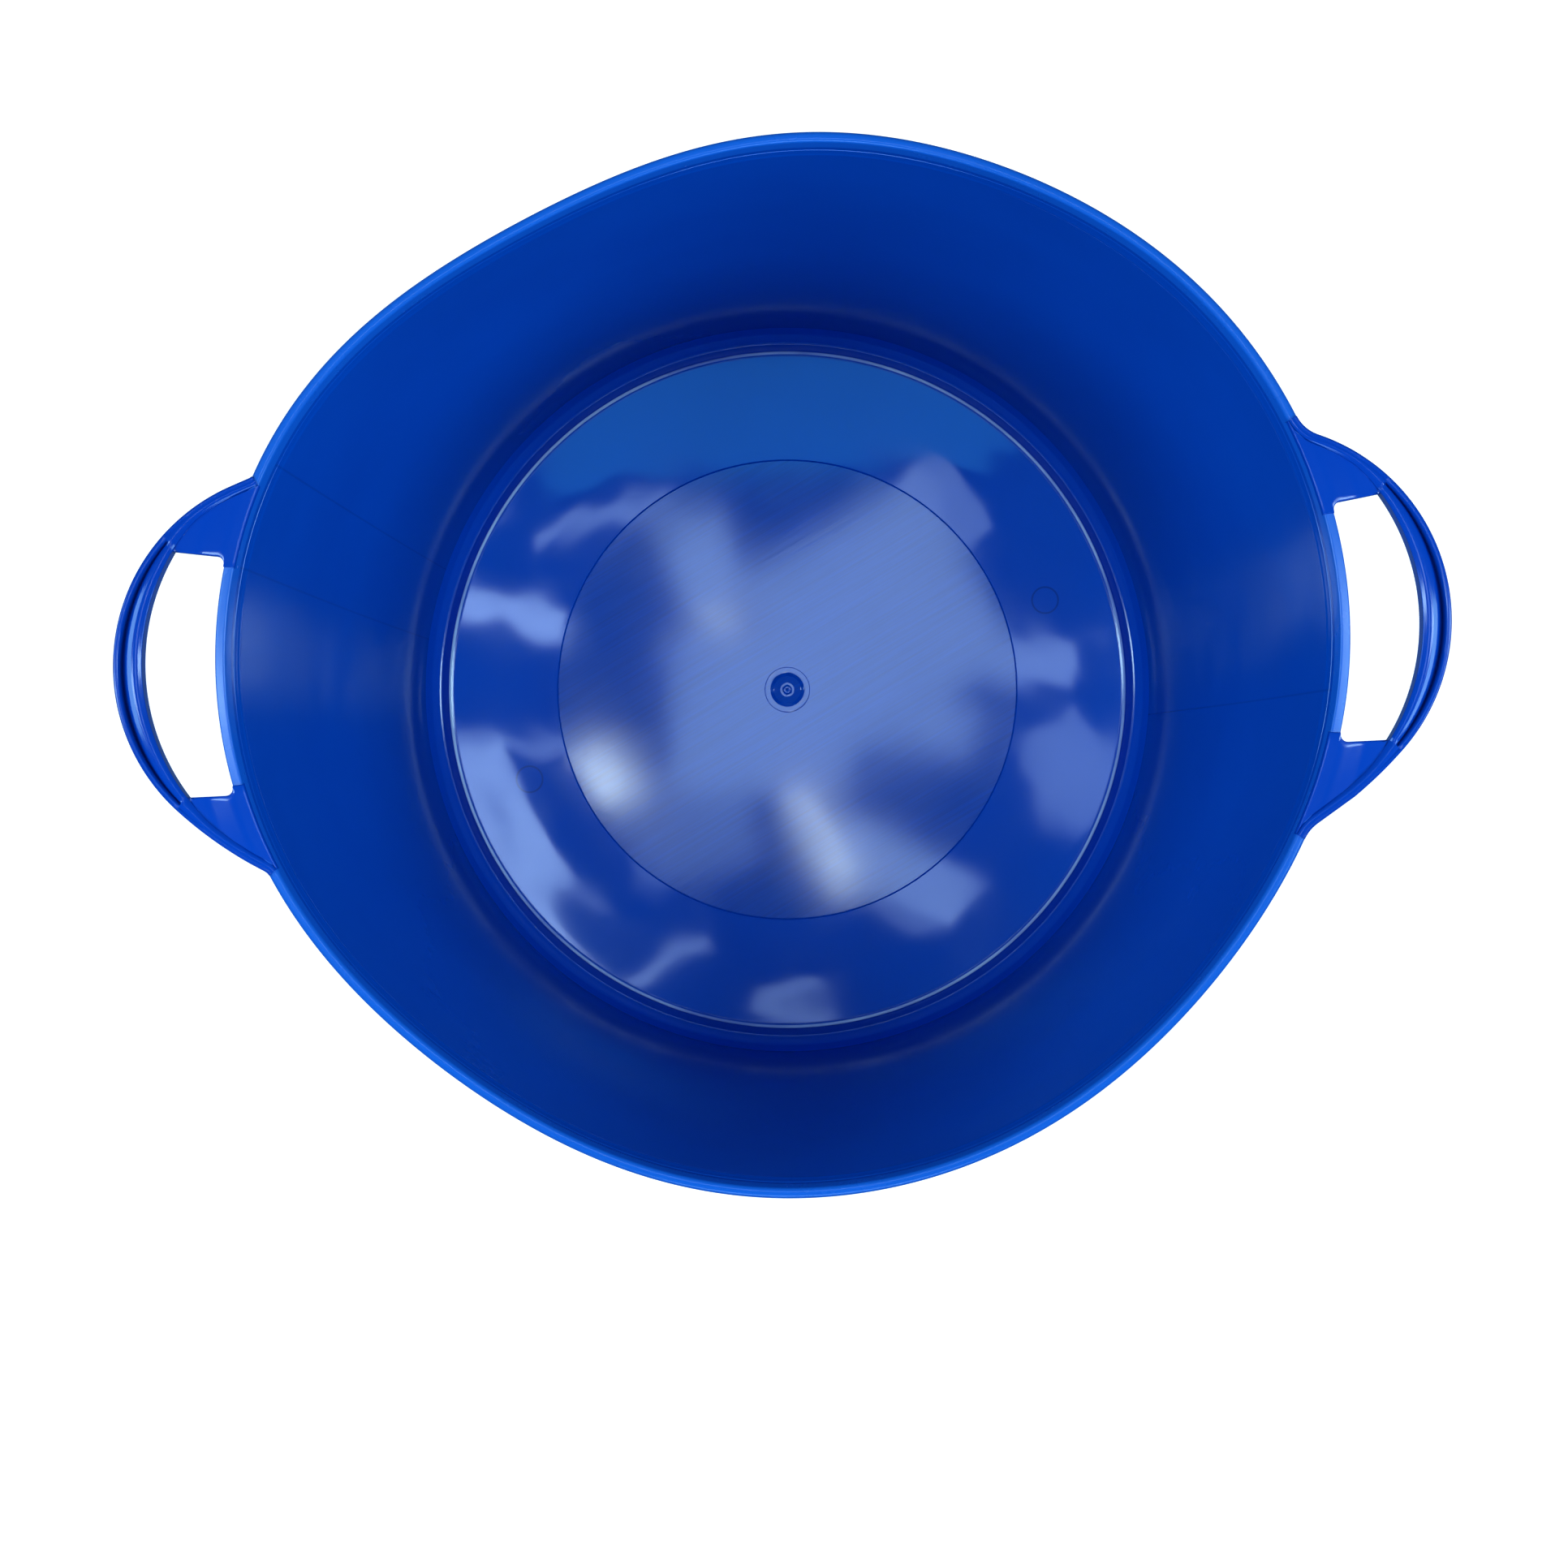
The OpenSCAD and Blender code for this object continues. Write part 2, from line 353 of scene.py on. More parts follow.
def collar_band():
    """Thicker band under the rim, with two fine ledges on the inside."""
    levels = [
        (WALL_T, COLLAR_Z, 0), (WALL_T, COLLAR_Z + 1.6, 0.6), (WALL_T - 0.35, COLLAR_Z + 3.1, 0.6),
        (WALL_T - 0.6, COLLAR_Z + 6.6, 0.15), (COLLAR_IN_T, COLLAR_Z + 6.8, 0.15),
        (COLLAR_IN_T, BEAD_Z, 0), (-COLLAR_LIP, BEAD_Z, 0),
        (-COLLAR_LIP, COLLAR_Z + 2.5, 0.5), (0, COLLAR_Z + 1.2, 0.8), (0, COLLAR_Z, 0),
    ]
    corners = [(wall_radius(z, inset), z, r) for inset, z, r in levels]
    return round_piece("collar_band", round_corners(corners, 4), 480)


def bead_section(inner_round, outer_round, crown_drop, outer_drop):
    """Section of the rim bead. Its top falls outwards from the crown."""
    top = RIM_Z - crown_drop
    corners = [
        (wall_radius(BEAD_Z, COLLAR_IN_T), BEAD_Z, 0),
        (wall_radius(RIM_Z, BEAD_IN_T), top, inner_round),
        (wall_radius(RIM_Z, -BEAD_LIP), top - outer_drop, outer_round),
        (wall_radius(RIM_Z, -BEAD_LIP), BEAD_Z + 0.5, 0.4),
        (wall_radius(BEAD_Z, -COLLAR_LIP), BEAD_Z, 0),
    ]
    return round_corners(corners, 7)


def rim_bead():
    """Rounded rim. Along the hand openings its inner edge is crisper and its top slopes more."""
    stations = 720
    angle = np.linspace(0, 2 * math.pi, stations, endpoint=False)
    radius = rim_radius(angle)
    soft, crisp = bead_section(1.7, 1.9, 0.4, 0.5), bead_section(0.9, 0.9, 0.4, 1.2)
    beside = np.abs(radius * np.cos(angle)) > HEEL_R
    middle_y = (opening_y(LEFT)[0] + opening_y(LEFT)[1]) / 2
    half = (opening_y(LEFT)[1] - opening_y(LEFT)[0]) / 2
    off = np.abs(radius * np.sin(angle) - middle_y) - half
    share = np.where(beside, 1 - smooth((off + 3) / 6), 0.0)[:, None, None]
    section = soft[None] * (1 - share) + crisp[None] * share
    r = section[..., 0] + height_share(section[..., 1]) * (radius - RIM_R)[:, None]
    x, y = r * np.cos(angle)[:, None], r * np.sin(angle)[:, None]
    return grid_piece("rim_bead", np.stack([x, y, section[..., 1]], axis=-1), True)


# ---- Handles ----


def side_name(side):
    return "left" if side == LEFT else "right"


def opening_y(side):
    """Front and rear end of a hand opening."""
    low, high = mm_box(f"{side_name(side)}_grip")
    return low[1], high[1]


def hinge_of(side):
    """Where the CAD model's flexing axis of a handle is, in millimetres."""
    joint = next(j for j in frame["joints"] if j["child"] == f"{side_name(side)}_handle")
    return np.array(joint["pos_m"]) / MM


def rim_line(side, inset):
    """The rim beside a handle as (outward distance, y) points, in order of y."""
    middle = 0.0 if side == RIGHT else math.pi
    angle = middle + side * np.linspace(-0.75, 0.75, 301)
    r = rim_radius(angle) - inset
    return np.stack([side * r * np.cos(angle), r * np.sin(angle)], axis=1)


def rim_at(line, y):
    """The point of a rim line at a y."""
    return np.array([np.interp(y, line[:, 1], line[:, 0]), y])


def grip_width(turn):
    """Width of the grip bar at a turn around the handle's outer arc: a crescent that stays a band."""
    offset = HANDLE_R - GRIP_W - GRIP_IN_R
    inner = offset * np.cos(turn) + np.sqrt(GRIP_IN_R**2 - (offset * np.sin(turn)) ** 2)
    crescent, least = HANDLE_R - inner, 4.3
    return 0.5 * (crescent + least + np.sqrt((crescent - least) ** 2 + 0.6))


BAR_POINTS = 26
PLATE_POINTS = 11
# How a web's outer edge meets the rim: the turn where it leaves the grip's arc, its radius from
# there on, and the fillet in the corner with the rim
ROOTS = {
    (LEFT, FRONT): (math.radians(45), 160.0, 4.0),
    (RIGHT, FRONT): (math.radians(44), 170.0, 16.0),
    (LEFT, REAR): (math.radians(69), 900.0, 1.0),
    (RIGHT, REAR): (math.radians(68), 900.0, 15.0),
}
REAR_SLANT = 0.15


def bar_top(width, groove):
    """Upper chain of the bar's section, as (distance from the outer edge, height) points.
    groove is its (presence, width, depth)."""
    presence, groove_w, depth = groove
    crown = 0.16 * (width - presence * (RIDGE_W + groove_w))
    edge = [(1 - math.cos(a), RIM_Z - 1 + math.sin(a)) for a in np.radians([0, 25, 50, 75, 90])]
    bed = RIDGE_W + 0.7
    shoulder = RIDGE_W + groove_w + 0.2
    inner = width - 0.35
    at = [RIDGE_W - 0.6, RIDGE_W - 0.25, RIDGE_W, RIDGE_W + 0.12, RIDGE_W + 0.3, bed]
    at += list(np.linspace(bed, shoulder, 7)[1:]) + list(np.linspace(shoulder, inner, 7)[1:])
    points = list(edge)
    for d in at:
        plain = RIM_Z - crown * (2 * (d - 1) / (inner - 1) - 1) ** 2 * (1 - presence)
        if d <= RIDGE_W - 0.6:
            cut = 0.0
        elif d < bed:
            down = (d - RIDGE_W + 0.6) / (bed - RIDGE_W + 0.6)
            cut = depth * (0.06 * smooth(down / 0.45) + 0.94 * smooth((down - 0.3) / 0.7))
        elif d < shoulder:
            rise = (d - bed) / (shoulder - bed)
            cut = crown + (depth - crown) * (1 - math.sin(rise * math.pi / 2))
        else:
            cut = crown * (2 * (d - shoulder) / (inner - shoulder) - 1) ** 2
        points.append((d, plain * (1 - presence) + (RIM_Z - cut) * presence))
    low = points[-1][1]
    points += [(width - 0.12, low - 0.10), (width - 0.02, low - 0.3), (width, low - 0.6)]
    return points


def bar_bottom(width, z):
    """Lower chain of the bar's section, rounded at both edges."""
    r = min(2.8, width / 2 - 0.1)
    at = width * (1 - np.cos(np.linspace(0, math.pi, BAR_POINTS))) / 2
    near = np.minimum(at, width - at)
    rise = np.where(near < r, r - np.sqrt(np.maximum(r**2 - (r - near) ** 2, 0)), 0.0)
    return list(zip(at, z + rise))


def plate_heights(point, rim):
    """Top and bottom of a web's plate: flush with the rim at its root, a little lower further out."""
    out = point[0] - rim_at(rim, point[1])[0]
    top = RIM_Z - 0.02 - WEB_DROP * smooth(out / GRIP_D)
    return top, top - WEB_T


def handle_row(outer, inward, width, groove, low_z, end_point, rim, bend=None):
    """One row of a handle's skin: the bar, and the plate from the bar to end_point."""
    top = [np.r_[outer + inward * d, z] for d, z in bar_top(width, groove)]
    bottom = [np.r_[outer + inward * d, z] for d, z in bar_bottom(width, low_z)]
    foot = outer + inward * width
    across = end_point - foot
    span = np.linalg.norm(across)
    there = min(1.0, span / 1.2)
    unit = across / span if span > 1e-6 else inward
    steps = [0.1, 0.45] + list(np.linspace(0.12, 0.88, PLATE_POINTS - 6) * span)
    steps += [span - 0.6, span - 0.35, span - 0.12, span]
    drops = [0.0, 0.0] + [0.0] * (PLATE_POINTS - 6) + [0.0, 0.06, 0.25, 0.6]
    face_top, face_low = top[-1][2], bottom[-1][2]
    for i, (step, drop) in enumerate(zip(steps, drops)):
        part = (i + 1) / (PLATE_POINTS + 1)
        plan = foot + unit * np.clip(step, 0, span)
        if bend is not None:
            plan = plan + bend(np.clip(step / max(span, 1e-6), 0, 1))
        plate_top, plate_low = plate_heights(plan, rim)
        on_face = face_top + (face_low - face_top) * part * 0.45
        under_face = face_low + (face_top - face_low) * part * 0.45
        top.append(np.r_[plan, on_face * (1 - there) + (plate_top - drop) * there])
        bottom.append(np.r_[plan, under_face * (1 - there) + (plate_low + drop) * there])
    return top, bottom


def outer_edge(side, end, centre, corner_turn):
    """A web's free outer edge, from the grip to the rim: two arcs and a fillet."""
    rim = rim_line(side, 0.0)
    leave_turn, wide_r, fillet = ROOTS[side, end]
    turns = np.linspace(corner_turn, leave_turn, 60)
    arc = centre + HANDLE_R * np.stack([np.cos(turns), end * np.sin(turns)], axis=1)
    wide_centre = centre - (wide_r - HANDLE_R) * np.array([math.cos(leave_turn), end * math.sin(leave_turn)])
    turns = leave_turn + np.linspace(0, 60 / wide_r, 601)
    run = wide_centre + wide_r * np.stack([np.cos(turns), end * np.sin(turns)], axis=1)
    last = [p[0] <= rim_at(rim, p[1])[0] for p in run].index(True)
    start = max(0, last - 10 * int(fillet * 1.2 + 3))
    land = rim_at(rim, run[last][1] + end * 12)
    turn_in = round_corners([(*run[start], 0), (*run[last], fillet), (*land, 0)], 10, closed=False)
    return np.array(list(arc) + list(run[1 : start + 1 : 10]) + list(turn_in[1:-1]))


def end_lines(side, end, centre, corner_turn):
    """The two edges of a web as lines of points: its free outer edge, and the edge beside the
    opening. Both run from the grip to the rim."""
    rim = rim_line(side, 0.0)
    inner_rim = rim_line(side, BEAD_LIP + BEAD_IN_T)
    edge_y = opening_y(side)[0 if end == FRONT else 1]
    reach = HANDLE_R - grip_width(corner_turn)
    corner = centre + reach * np.array([math.cos(corner_turn), end * math.sin(corner_turn)])
    slant = REAR_SLANT * (corner[0] - rim_at(rim, edge_y)[0]) if end == REAR else 0.0
    root = rim_at(rim, edge_y - slant)
    along = rim_at(rim, root[1] - end * (OPENING_FILLET + 0.6))
    inside = rim_at(inner_rim, along[1] - end * 0.3)
    turns_in = [(*corner, 0), (*root, OPENING_FILLET - 0.5), (*along, 0.2), (*inside, 0)]
    beside = round_corners(turns_in, 6, closed=False)
    return outer_edge(side, end, centre, corner_turn), beside, inner_rim


def web_rows(side, end, centre, corner_turn, count=40):
    """Rows of a handle's skin across one web, from the grip to the rim."""
    outer, beside, inner_rim = end_lines(side, end, centre, corner_turn)
    outer, beside = even_line(outer, count), even_line(beside, count)
    tangent = np.gradient(outer, axis=0)
    tangent /= np.linalg.norm(tangent, axis=1)[:, None]
    inward = np.stack([-end * tangent[:, 1], end * tangent[:, 0]], axis=1)
    inward *= np.sign(np.sum(inward[0] * (centre - outer[0])))
    rim = rim_line(side, 0.0)
    turns = np.abs(np.arctan2(outer[:, 1] - centre[1], outer[:, 0] - centre[0]))
    last_foot = outer[-1] + inward[-1] * grip_width(turns[-1])
    last_across = beside[-1] - last_foot

    def bend_for(share):
        def bend(part):
            straight = last_foot + last_across * part
            return (rim_at(inner_rim, straight[1]) - straight) * share**4

        return bend

    rows = []
    for i in range(count):
        share = i / (count - 1)
        presence = smooth((GROOVE_END - turns[i]) * HANDLE_R / 0.9 + 0.5)
        groove = groove_at(turns[i], presence)
        low_z = RIM_Z - GRIP_D + 1.5 * smooth(share * 3) + 4.0 * smooth((share - 0.5) * 2)
        rows.append(
            handle_row(
                outer[i], inward[i], grip_width(turns[i]), groove, low_z, beside[i], rim, bend_for(share)
            )
        )
    for step, drop in ((0.35, 0.12), (0.55, 0.5)):
        move = inward[-1] * step
        top = [np.r_[p[:2] + move, p[2] - drop] for p in rows[count - 1][0]]
        bottom = [np.r_[p[:2] + move, p[2]] for p in rows[count - 1][1]]
        rows.append((top, bottom))
    return rows


def groove_at(turn, presence):
    """Presence, width and depth of the groove at a turn from the handle's middle."""
    share = min(1.0, (turn / GROOVE_END) ** 2)
    return presence, 1.4 + 2.2 * (1 - share), 2.5 + 3.0 * (1 - share)


def handle(side):
    """A whole handle as one skin, from the rim over a web, the grip and the other web to the rim."""
    name = side_name(side)
    ridge = mm_box(f"{name}_grip_ridge")
    reach = max(abs(ridge[0][0]), abs(ridge[1][0]))
    centre = np.array([reach - HANDLE_R, hinge_of(side)[1]])
    rim = rim_line(side, 0.0)

    def corner_turn(end):
        edge = opening_y(side)[0 if end == FRONT else 1]
        turns = np.radians(np.linspace(25, 60, 701))
        y = centre[1] + end * (HANDLE_R - grip_width(turns)) * np.sin(turns)
        return turns[int(np.argmin(np.abs(y - edge)))]

    turn_front, turn_rear = corner_turn(FRONT), corner_turn(REAR)
    rows = web_rows(side, FRONT, centre, turn_front)[::-1]
    for turn in np.linspace(-turn_front, turn_rear, 120)[1:-1]:
        inward = -np.array([math.cos(turn), math.sin(turn)])
        width = grip_width(turn)
        outer = centre - inward * HANDLE_R
        groove = groove_at(abs(turn), 1.0)
        foot = outer + inward * width
        rows.append(handle_row(outer, inward, width, groove, RIM_Z - GRIP_D, foot, rim))
    rows += web_rows(side, REAR, centre, turn_rear)
    points = np.array([list(top) + list(bottom)[::-1] for top, bottom in rows])
    points[..., 0] *= side
    return grid_piece(f"{name}_handle_skin", points, False, 42.0, BAR_POINTS + PLATE_POINTS)


# ---- Materials ----


def srgb(r, g, b):
    """An sRGB colour of 0 to 255 as the linear colour that a shader takes."""
    def channel(v):
        v /= 255
        return v / 12.92 if v <= 0.04045 else ((v + 0.055) / 1.055) ** 2.4

    return (channel(r), channel(g), channel(b), 1.0)


class Nodes:
    """Short calls for building a material's node tree."""

    def __init__(self, name):
        self.material = bpy.data.materials.new(name)
        self.material.use_nodes = True
        self.tree = self.material.node_tree
        self.shader = self.tree.nodes["Principled BSDF"]
        self.place = self.add("ShaderNodeTexCoord").outputs["Object"]

    def add(self, kind, **settings):
        node = self.tree.nodes.new(kind)
        for key, value in settings.items():
            setattr(node, key, value)
        return node

    def link(self, source, target):
        self.tree.links.new(source, target)

    def noise(self, scale, detail=2.0, stretch=None, turn=0.0, roughness=0.5):
        """Noise over the object, with features about 1/scale metres wide."""
        source = self.place
        if stretch is not None:
            turned = self.add("ShaderNodeVectorRotate", rotation_type="Z_AXIS")
            turned.inputs["Angle"].default_value = turn
            self.link(source, turned.inputs["Vector"])
            mapping = self.add("ShaderNodeMapping")
            mapping.inputs["Scale"].default_value = stretch
            self.link(turned.outputs["Vector"], mapping.inputs["Vector"])
            source = mapping.outputs["Vector"]
        noise = self.add("ShaderNodeTexNoise")
        noise.inputs["Scale"].default_value = scale
        noise.inputs["Detail"].default_value = detail
        noise.inputs["Roughness"].default_value = roughness
        self.link(source, noise.inputs["Vector"])
        return noise.outputs["Fac"]

    def spread(self, value, low, high, start=0.3, stop=0.7):
        """Maps a noise value from start..stop to low..high."""
        node = self.add("ShaderNodeMapRange")
        for key, number in (("From Min", start), ("From Max", stop), ("To Min", low), ("To Max", high)):
            node.inputs[key].default_value = number
        self.link(value, node.inputs["Value"])
        return node.outputs["Result"]

    def maths(self, operation, first, second=None):
        """A Math node on values or numbers."""
        node = self.add("ShaderNodeMath", operation=operation)
        for socket, value in zip(node.inputs, (first, second)):
            if isinstance(value, (int, float)):
                socket.default_value = value
            elif value is not None:
                self.link(value, socket)
        return node.outputs["Value"]

    def mix_colours(self, value, first, second):
        ramp = self.add("ShaderNodeValToRGB")
        ramp.color_ramp.elements[0].position = 0.3
        ramp.color_ramp.elements[1].position = 0.7
        ramp.color_ramp.elements[0].color = first
        ramp.color_ramp.elements[1].color = second
        self.link(value, ramp.inputs["Fac"])
        return ramp.outputs["Color"]

    def bump(self, layers):
        """A chain of bumps, each (value, height in metres)."""
        normal = None
        for value, distance in layers:
            node = self.add("ShaderNodeBump")
            node.inputs["Distance"].default_value = distance
            node.inputs["Strength"].default_value = 1.0
            self.link(value, node.inputs["Height"])
            if normal is not None:
                self.link(normal, node.inputs["Normal"])
            normal = node.outputs["Normal"]
        self.link(normal, self.shader.inputs["Normal"])


def polyethylene(name, deep, pale, rough, specular=0.5, grain=None, marks=None, ripple=0.012):
    """Coloured polyethylene: slightly uneven pigment, a soft gloss that varies, and fine texture.
    ripple is the height of the finest texture, in millimetres."""
    nodes = Nodes(name)
    shader = nodes.shader
    colour = nodes.mix_colours(nodes.noise(9, 3), deep, pale)
    # marks draws a part's real marks and its painted highlight or sheen over the base colour.
    if marks:
        colour = marks(nodes, colour)
    nodes.link(colour, shader.inputs["Base Color"])
    haze = nodes.noise(26, 4, roughness=0.6)
    nodes.link(nodes.spread(haze, rough[0], rough[1]), shader.inputs["Roughness"])
    shader.inputs["IOR"].default_value = 1.51
    shader.inputs["Specular IOR Level"].default_value = specular
    shader.inputs["Specular Tint"].default_value = (0.7, 0.9, 1.0, 1.0)
    layers = [(nodes.noise(900, 2), ripple * 0.001)]
    if grain:
        layers += grain(nodes)
    nodes.bump(layers)
    return nodes.material


def drawn_grain(nodes):
    """Faint marks down the wall, where the moulding slid off its core."""
    return [(nodes.noise(60, 2, stretch=(1, 1, 0.05)), 0.00003)]


# Direction of the scratches across the middle of the floor
BRUSH_TURN = math.radians(-28)


def brushed_grain(nodes):
    """Fine straight scratches of the mould's milled face, across the middle of the floor."""
    return [
        (nodes.noise(1, 3, stretch=(12, 900, 12), turn=BRUSH_TURN, roughness=0.6), 0.0000026),
        (nodes.noise(1, 2, stretch=(6, 240, 6), turn=BRUSH_TURN), 0.000003),
    ]


def tinted(nodes, colour, shade):
    """A colour multiplied by a grey shade."""
    mix = nodes.add("ShaderNodeMix", data_type="RGBA", blend_type="MULTIPLY")
    mix.inputs["Factor"].default_value = 1.0
    nodes.link(colour, mix.inputs["A"])
    nodes.link(shade, mix.inputs["B"])
    return mix.outputs["Result"]


def painted_brushed_sheen(nodes, colour):
    """Painted sheen: lighter and darker streaks along the same scratches, in place of their stretched
    reflections.
    """
    streaks = nodes.noise(1, 4, stretch=(14, 700, 14), turn=BRUSH_TURN, roughness=0.7)
    return tinted(nodes, colour, nodes.spread(streaks, 0.84, 1.16, 0.3, 0.7))


def ejector_rings(nodes, colour):
    """Faint outlines of the ejector pins, on the glossy ring of the floor."""
    split = nodes.add("ShaderNodeSeparateXYZ")
    nodes.link(nodes.place, split.inputs["Vector"])
    shade = None
    for degrees in EJECTOR_ANGLES:
        turn = math.radians(degrees)
        dx = nodes.maths("SUBTRACT", split.outputs["X"], EJECTOR_R * math.cos(turn))
        dy = nodes.maths("SUBTRACT", split.outputs["Y"], EJECTOR_R * math.sin(turn))
        squares = nodes.maths("ADD", nodes.maths("MULTIPLY", dx, dx), nodes.maths("MULTIPLY", dy, dy))
        off = nodes.maths("SUBTRACT", nodes.maths("SQRT", squares), 0.0063)
        line = nodes.spread(nodes.maths("ABSOLUTE", off), 0.62, 1.0, 0.0002, 0.0006)
        shade = line if shade is None else nodes.maths("MINIMUM", shade, line)
    return tinted(nodes, colour, shade)


def radius_of(nodes):
    """Distance from the tub's axis."""
    split = nodes.add("ShaderNodeSeparateXYZ")
    nodes.link(nodes.place, split.inputs["Vector"])
    squares = [nodes.maths("MULTIPLY", split.outputs[axis], split.outputs[axis]) for axis in "XY"]
    return nodes.maths("SQRT", nodes.maths("ADD", *squares))


def painted_lip_highlight(nodes, colour):
    """A painted highlight: a thin pale line along the lip around the floor, brighter in some places than in
    others.
    """
    off = nodes.maths("ABSOLUTE", nodes.maths("SUBTRACT", radius_of(nodes), (FLOOR_EDGE_R - 0.5) * MM))
    line = nodes.spread(off, 1.0, 0.0, 0.0005, 0.0009)
    highlight_share = nodes.maths("MULTIPLY", line, nodes.spread(nodes.noise(14, 3), 0.25, 1.0, 0.35, 0.62))
    mix = nodes.add("ShaderNodeMix", data_type="RGBA")
    nodes.link(highlight_share, mix.inputs["Factor"])
    nodes.link(colour, mix.inputs["A"])
    # Pale colour of the painted highlight on the lip.
    mix.inputs["B"].default_value = srgb(205, 232, 255)
    return mix.outputs["Result"]


def witness_lines(nodes, colour):
    """Thin dark lines up the wall, where the mould's slides met."""
    split = nodes.add("ShaderNodeSeparateXYZ")
    nodes.link(nodes.place, split.inputs["Vector"])
    angle = nodes.maths("ARCTAN2", split.outputs["Y"], split.outputs["X"])
    shade = None
    for degrees, lean in WITNESS_LINES:
        line = nodes.maths("MULTIPLY", split.outputs["Z"], math.radians(lean))
        line = nodes.maths("ADD", line, math.radians(degrees))
        off = nodes.maths("ABSOLUTE", nodes.maths("SUBTRACT", angle, line))
        dark = nodes.spread(off, 0.8, 1.0, 0.0008, 0.0032)
        shade = dark if shade is None else nodes.maths("MINIMUM", shade, dark)
    return tinted(nodes, colour, shade)


def assign(piece, material):
    piece.data.materials.clear()
    piece.data.materials.append(material)


# ---- The tub ----

# Angle of each line where it would meet the ground, and its lean in degrees per metre of height
WITNESS_LINES = [(169.4, -8.5), (158.0, -8.0), (-6.8, 6.0)]
# Places of the ejector pins in the floor
EJECTOR_R = 0.132
EJECTOR_ANGLES = (16.4, 196.4)

# One blue plastic throughout: the heel, floor ring and disc have lighter base colours than the wall, painted
# light for the stronger light that falls on the floor.
wall_plastic = polyethylene(
    "wall_polyethylene", srgb(0, 66, 164), srgb(0, 72, 173), (0.12, 0.19),
    grain=drawn_grain, marks=witness_lines, ripple=0.002,
)
# The heel's lip carries a painted highlight line.
heel_plastic = polyethylene(
    "heel_polyethylene", srgb(0, 74, 192), srgb(0, 80, 202), (0.09, 0.14),
    marks=painted_lip_highlight, ripple=0.002,
)
ring_plastic = polyethylene(
    "floor_ring_polyethylene", srgb(0, 86, 206), srgb(0, 94, 216), (0.03, 0.06), 0.56,
    marks=ejector_rings, ripple=0.0006,
)
# The disc carries painted sheen in streaks along its scratches.
disc_plastic = polyethylene(
    "floor_disc_polyethylene", srgb(0, 84, 196), srgb(2, 90, 206), (0.06, 0.085), 0.7,
    grain=brushed_grain, marks=painted_brushed_sheen, ripple=0.001,
)
# The rim's base is lighter and paler than the wall's: a painted highlight along its rounded top.
rim_plastic = polyethylene("rim_polyethylene", srgb(14, 88, 186), srgb(18, 94, 196), (0.20, 0.30), 0.4)
# The handles' base is darker than the wall's: painted shade on their flat webs.
handle_plastic = polyethylene(
    "handle_polyethylene", srgb(0, 58, 160), srgb(0, 64, 170), (0.10, 0.15), 0.38, ripple=0.003
)

TUB_PIECES = [
    (gate_boss(), "gate_boss", disc_plastic, "floor_plastic"),
    (floor_disc(), "floor_disc", disc_plastic, "floor_plastic"),
    (floor_ring(), "floor_ring", ring_plastic, "floor_plastic"),
    (heel_ring(), "heel_ring", heel_plastic, "wall_plastic"),
    (side_wall(), "side_wall", wall_plastic, "wall_plastic"),
    (collar_band(), "collar_band", wall_plastic, "wall_plastic"),
    (rim_bead(), "rim_bead", rim_plastic, "handle_plastic"),
]
for piece, node, material, slot_name in TUB_PIECES:
    piece.name = f"{node}_skin"
    assign(piece, material)
    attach(piece, "tub")
    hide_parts(node)

for side in (LEFT, RIGHT):
    name = side_name(side)
    skin = handle(side)
    assign(skin, handle_plastic)
    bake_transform(skin)
    parts = [f"{name}_front_web", f"{name}_rear_web", f"{name}_grip", f"{name}_grip_ridge"]
    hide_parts(*parts)


# ---- Studio ----


def ground():
    """Plain white floor, which sheds no light back on the tub."""
    mesh = bpy.data.meshes.new("ground")
    s = 6.0
    mesh.from_pydata([(-s, -s, 0), (s, -s, 0), (s, s, 0), (-s, s, 0)], [], [(0, 1, 2, 3)])
    floor = bpy.data.objects.new("ground", mesh)
    bpy.context.scene.collection.objects.link(floor)
    nodes = Nodes("white_ground")
    nodes.shader.inputs["Base Color"].default_value = (0.5, 0.5, 0.5, 1)
    nodes.shader.inputs["Roughness"].default_value = 0.9
    nodes.shader.inputs["Specular IOR Level"].default_value = 0.1
    nodes.shader.inputs["Emission Color"].default_value = (1, 1, 1, 1)
    nodes.shader.inputs["Emission Strength"].default_value = 0.8
    material = nodes.material
    floor.visible_glossy = False
    floor.visible_diffuse = False
    mesh.materials.append(material)


def softbox(name, place, target, size, power, tint=(1, 1, 1), turn=0.0):
    """A rectangular area light that faces a target."""
    light = bpy.data.lights.new(name, "AREA")
    light.shape = "RECTANGLE"
    light.size, light.size_y = size
    light.energy = power
    light.color = tint
    lamp = bpy.data.objects.new(name, light)
    lamp.location = place
    facing = (Vector(target) - Vector(place)).to_track_quat("-Z", "Y")
    lamp.rotation_euler = (facing @ Quaternion((0, 0, 1), turn)).to_euler()
    bpy.context.scene.collection.objects.link(lamp)
    return lamp
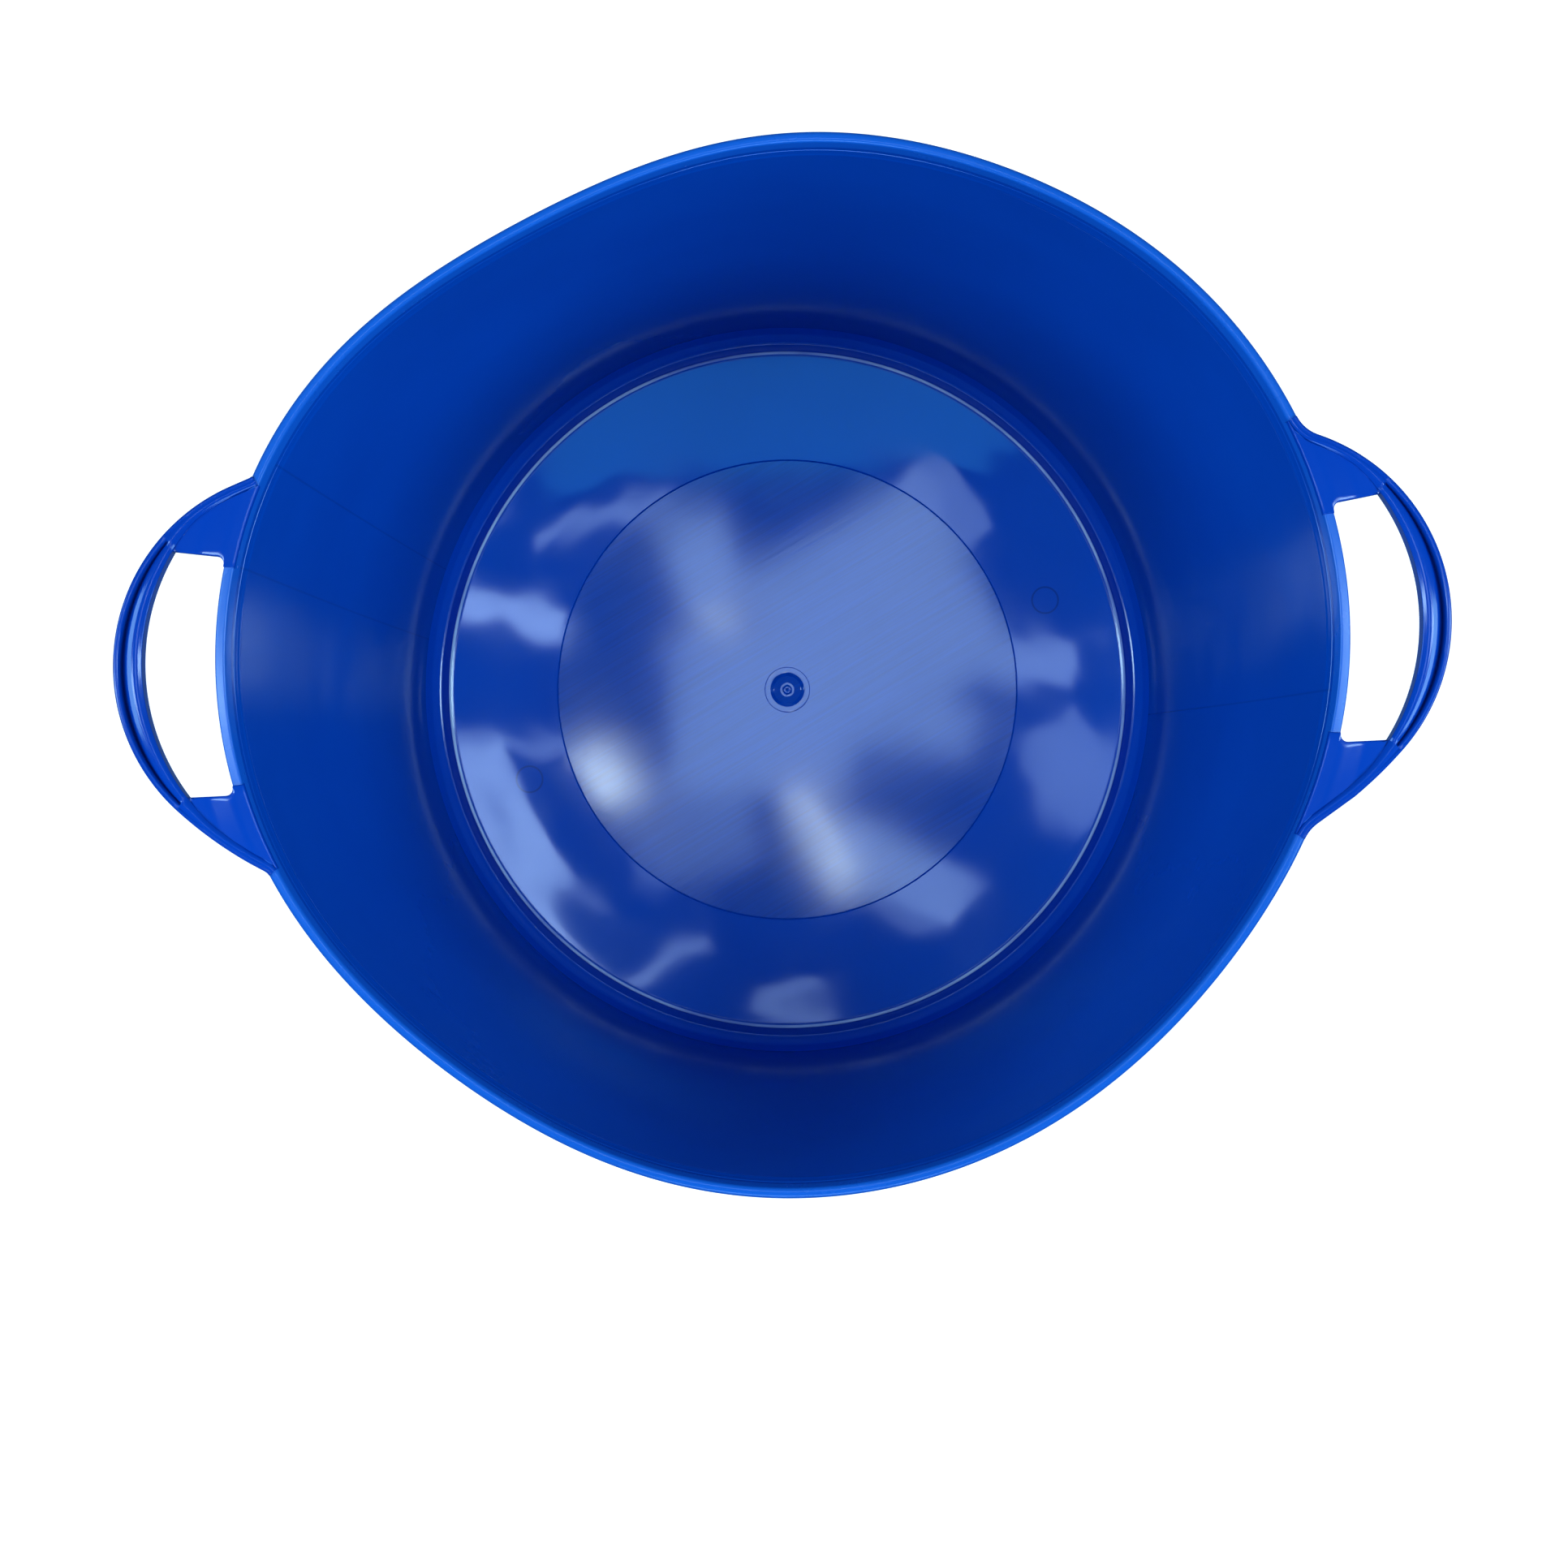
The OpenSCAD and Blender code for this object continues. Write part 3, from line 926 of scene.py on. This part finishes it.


# Softboxes on the ceiling, which show in the glossy floor:
# x, y, width, depth, turn in degrees, radiance, tint
CEILING_BOXES = [
    # Three wide windows over the middle, and a smaller one towards the rear left
    (0.12, 0.15, 0.26, 0.26, 30, 5.0, "day"),
    (-0.03, 0.04, 0.22, 0.20, 0, 5.0, "day"),
    (0.14, 0.02, 0.20, 0.07, -15, 5.0, "day"),
    (-0.09, 0.23, 0.08, 0.12, 15, 6.0, "day"),
    # Lamps: a round one at the left, a long one in front, a small one near the middle
    (-0.22, -0.03, 0.05, 0.09, 30, 15.0, "lamp"),
    (0.04, -0.12, 0.03, 0.14, 25, 15.0, "lamp"),
    (-0.07, 0.14, 0.05, 0.07, 20, 8.0, "lamp"),
    # Around the left of the floor
    (-0.33, 0.17, 0.14, 0.04, -20, 10.0, "day"),
    (-0.32, -0.14, 0.34, 0.05, -63, 10.0, "day"),
    (-0.33, 0.02, 0.20, 0.02, -5, 5.0, "day"),
    (-0.22, 0.29, 0.20, 0.03, 10, 5.0, "day"),
    # Around the right of the floor
    (0.20, 0.27, 0.09, 0.14, 30, 3.5, "day"),
    (0.32, 0.09, 0.12, 0.06, 0, 6.0, "day"),
    (0.35, -0.05, 0.10, 0.12, 20, 4.0, "day"),
    (0.14, -0.17, 0.20, 0.08, -30, 6.0, "day"),
    # In front, and a dim glow of sky behind
    (-0.01, -0.34, 0.11, 0.03, 15, 4.0, "day"),
    (-0.16, -0.25, 0.09, 0.02, 30, 5.0, "day"),
    (-0.13, -0.09, 0.16, 0.14, 15, 2.5, "day"),
    (0.00, 0.40, 0.60, 0.12, 0, 2.2, "sky"),
]
CEILING_Z = 2.6
CEILING_TINTS = {"sky": (0.08, 0.50, 1.0), "day": (0.58, 0.70, 1.0), "lamp": (1.0, 1.0, 1.0)}
SIDE_LIGHT = (0.45, 0.78, 1.0)
STRIP_LIGHT = (0.75, 0.92, 1.0)


def studio():
    """A bright studio with two large softboxes at the sides and many small ones on the ceiling."""
    world = bpy.data.worlds.new("studio")
    world.use_nodes = True
    world.node_tree.nodes["Background"].inputs["Color"].default_value = (0.35, 0.7, 1, 1)
    world.node_tree.nodes["Background"].inputs["Strength"].default_value = 0.18
    bpy.context.scene.world = world
    softbox("left_box", (-2.2, 0.2, 1.6), (0, 0, 0.2), (1.3, 0.9), 35, SIDE_LIGHT)
    softbox("right_box", (2.2, -0.4, 1.7), (0, 0, 0.2), (1.3, 0.9), 39, SIDE_LIGHT)
    softbox("front_box", (0.0, -2.3, 1.7), (0, 0, 0.2), (1.6, 0.8), 30, SIDE_LIGHT)
    softbox("left_strip", (-1.9, 0.0, 2.6), (0, 0, 0), (0.3, 1.2), 21, STRIP_LIGHT)
    softbox("right_strip", (1.9, 0.0, 2.6), (0, 0, 0), (0.3, 1.2), 21, STRIP_LIGHT)
    softbox("top_box", (0.0, 0.1, 2.5), (0, 0, 0), (1.0, 1.0), 6, SIDE_LIGHT).visible_glossy = False
    for number, (x, y, width, depth, turn, radiance, tint) in enumerate(CEILING_BOXES):
        power = radiance * math.pi * width * depth
        place = (x, y, CEILING_Z)
        size, colour = (width, depth), CEILING_TINTS[tint]
        softbox(f"ceiling_{number}", place, (x, y, 0), size, power, colour, math.radians(turn))


def camera():
    """Straight down over the mouth, as a photographer would lean over it."""
    data = bpy.data.cameras.new("camera")
    data.lens = 85.8
    data.sensor_width = 36.0
    view = bpy.data.objects.new("camera", data)
    view.location = (-0.0038, -0.0455, 1.815)
    view.rotation_euler = (0, 0, math.radians(-2.76))
    bpy.context.scene.collection.objects.link(view)
    bpy.context.scene.camera = view


ground()
studio()
camera()
bpy.context.scene.view_settings.view_transform = "Standard"
